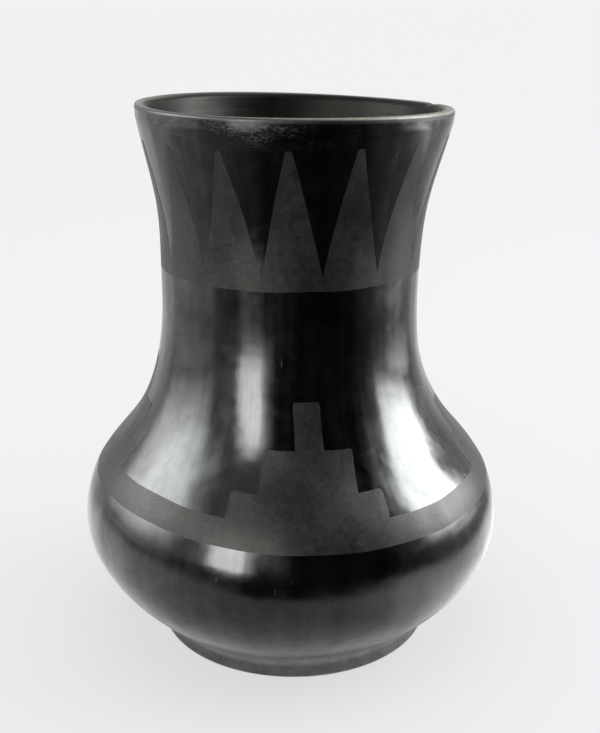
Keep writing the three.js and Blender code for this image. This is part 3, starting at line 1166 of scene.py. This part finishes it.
def ringSheet(name, rings, centre=(0, 0)):
    # rings of a flat or rising sheet, from the smallest outwards
    bpy.ops.object.select_all(action="DESELECT")
    radius, z = rings[0]
    bpy.ops.mesh.primitive_circle_add(vertices=96, radius=radius, location=(*centre, z))
    sheet = bpy.context.object
    sheet.name = name
    pullRings(rings)
    bpy.ops.object.mode_set(mode="OBJECT")
    bpy.ops.object.shade_smooth()
    return sheet


def layTable():
    # the table rises into a round sweep, so it has no horizon
    far = studio["sweepRadius"]
    rings = [(0.01 * mm, 0), (0.3, 0), (far - 0.8, 0)]
    rings += arcPoints((far - 0.8, 0.8), 0.8, -84, 0, 13) + [(far, 2.4)]
    table = ringSheet("pale_table", rings)
    table.data.materials.append(plainMaterial(
        "pale_table", studio["tableColour"], studio["tableGlow"]))


def farTableMaterial():
    # how bright the table's far part mirrors, going round the pot from behind by the left
    material, tree, surface, glow, parts = newGlow("far_table", "Object")
    azimuth = mathNode(tree, "ARCTAN2", parts[0], times(tree, parts[1], -1.0))
    share = rangeNode(tree, azimuth, -math.pi, math.pi)
    ramp = tree.nodes.new("ShaderNodeValToRGB")
    tree.links.new(share, ramp.inputs[0])
    stops = [(-180, 0.9), (-120, 0.9), (-85, 0.7), (-50, 0.34), (-20, 0.04), (-5, 0.004),
             (52, 0.004), (74, 0.32), (112, 0.42), (140, 0.9)]
    band = ramp.color_ramp
    for _ in stops[2:]:
        band.elements.new(0.5)
    for element, (degrees, level) in zip(band.elements, stops):
        element.position = (degrees + 180) / 360
        element.color = (level, level, level, 1)
    tree.links.new(ramp.outputs[0], glow.inputs["Color"])
    tree.links.new(glow.outputs[0], surface)
    return material


def dimTheRoom():
    # the unlit room on the viewer's side, and the darker table beyond the white sheet
    dark = plainMaterial("dark_room", studio["darkness"])
    for azimuth in (-1, 25, 51):
        hangCard(f"dark_wall_{azimuth}", azimuth, 1.45, 0.7, 0.0, 2.0, dark)
    farTable = ringSheet("far_table", [(0.31, 0.002), (2.1, 0.002)], (-0.06, 0.085))
    bpy.ops.object.transform_apply(location=True, rotation=True, scale=True)
    farTable.data.materials.append(farTableMaterial())
    reflectedOnly(farTable)


lights = [
    {"name": "window_left", "azimuth": -30, "width": 0.80, "low": 0.0, "high": 1.2, "strength": 19,
     "colour": (1.0, 0.99, 0.965), "softSides": 0.26, "softLow": 0.01, "softHigh": 0.2},
    {"name": "soft_left", "azimuth": -89, "width": 1.8, "low": 0.0, "high": 1.6, "strength": 16,
     "colour": (1.0, 1.0, 0.99), "softSides": 0.35, "softLow": 0.5, "softHigh": 0.15},
    {"name": "window_right", "azimuth": 96, "width": 1.12, "low": 0.0, "high": 1.9, "strength": 27,
     "colour": (1.0, 1.0, 1.0), "softSides": 0.15, "softLow": 0.24, "softHigh": 0.1},
]

# light mirrored in the table top: azimuth, near and far edge, width, strength
sheens = [
    {"name": "sheen_front", "azimuth": -31, "near": 0.58, "far": 1.45, "width": 0.29, "strength": 2.6},
    {"name": "sheen_left", "azimuth": -88, "near": 0.62, "far": 1.45, "width": 0.8, "strength": 2.0},
    {"name": "sheen_right", "azimuth": 101, "near": 0.60, "far": 1.45, "width": 0.50, "strength": 5.5},
    {"name": "gloss_left", "azimuth": -84, "near": 0.075, "far": 0.42, "width": 0.5, "strength": 1.5},
    {"name": "gloss_right", "azimuth": 82, "near": 0.075, "far": 0.27, "width": 0.42, "strength": 2.1},
]


def hangLights():
    # a dark bar stands in the left window
    dark = plainMaterial("window_bar", studio["darkness"])
    hangCard("window_bar", -20, studio["cardDistance"] - 0.05, 0.03, 0.0, 1.2, dark)
    for light in lights:
        hangCard(light["name"], light["azimuth"], studio["cardDistance"], light["width"],
                 light["low"], light["high"], glowMaterial(light))
    for sheen in sheens:
        soft = {"colour": (1, 1, 1), "softSides": 0.25, "softLow": 0.3, "softHigh": 0.3}
        layCard(sheen["name"], sheen["azimuth"], sheen["near"], sheen["far"], sheen["width"],
                glowMaterial({**sheen, **soft}))


def lightFromRight():
    # soft daylight on the table from the right window, so the pot shades its left side
    bpy.ops.object.select_all(action="DESELECT")
    bpy.ops.object.light_add(type="AREA", location=(1.5, 0.1, 0.95), rotation=(0, math.radians(62), 0))
    light = bpy.context.object
    light.name = "daylight_right"
    light.data.shape = "RECTANGLE"
    light.data.size = 1.6
    light.data.size_y = 1.1
    light.data.energy = studio["sideLight"]
    light.visible_glossy = False


def fillRoom():
    world = bpy.data.worlds.new("pale_room")
    world.use_nodes = True
    world.node_tree.nodes["Background"].inputs["Color"].default_value = (1, 1, 1, 1)
    world.node_tree.nodes["Background"].inputs["Strength"].default_value = studio["room"]
    bpy.context.scene.world = world


camera = {
    "place": (0.0, -0.500, 0.2986),
    "pitch": math.radians(18.302),
    "yaw": math.radians(0.369),
    "lens": 52.2,
}


def setCamera():
    bpy.ops.object.camera_add(
        location=camera["place"], rotation=(math.pi / 2 - camera["pitch"], 0, -camera["yaw"]))
    bpy.context.object.data.lens = camera["lens"]
    bpy.context.object.data.sensor_width = 36
    bpy.context.object.data.clip_start = 0.01
    bpy.context.scene.camera = bpy.context.object


layTable()
dimTheRoom()
hangLights()
lightFromRight()
fillRoom()
setCamera()
bpy.context.scene.view_settings.view_transform = "Standard"
print("table, lights and camera set")
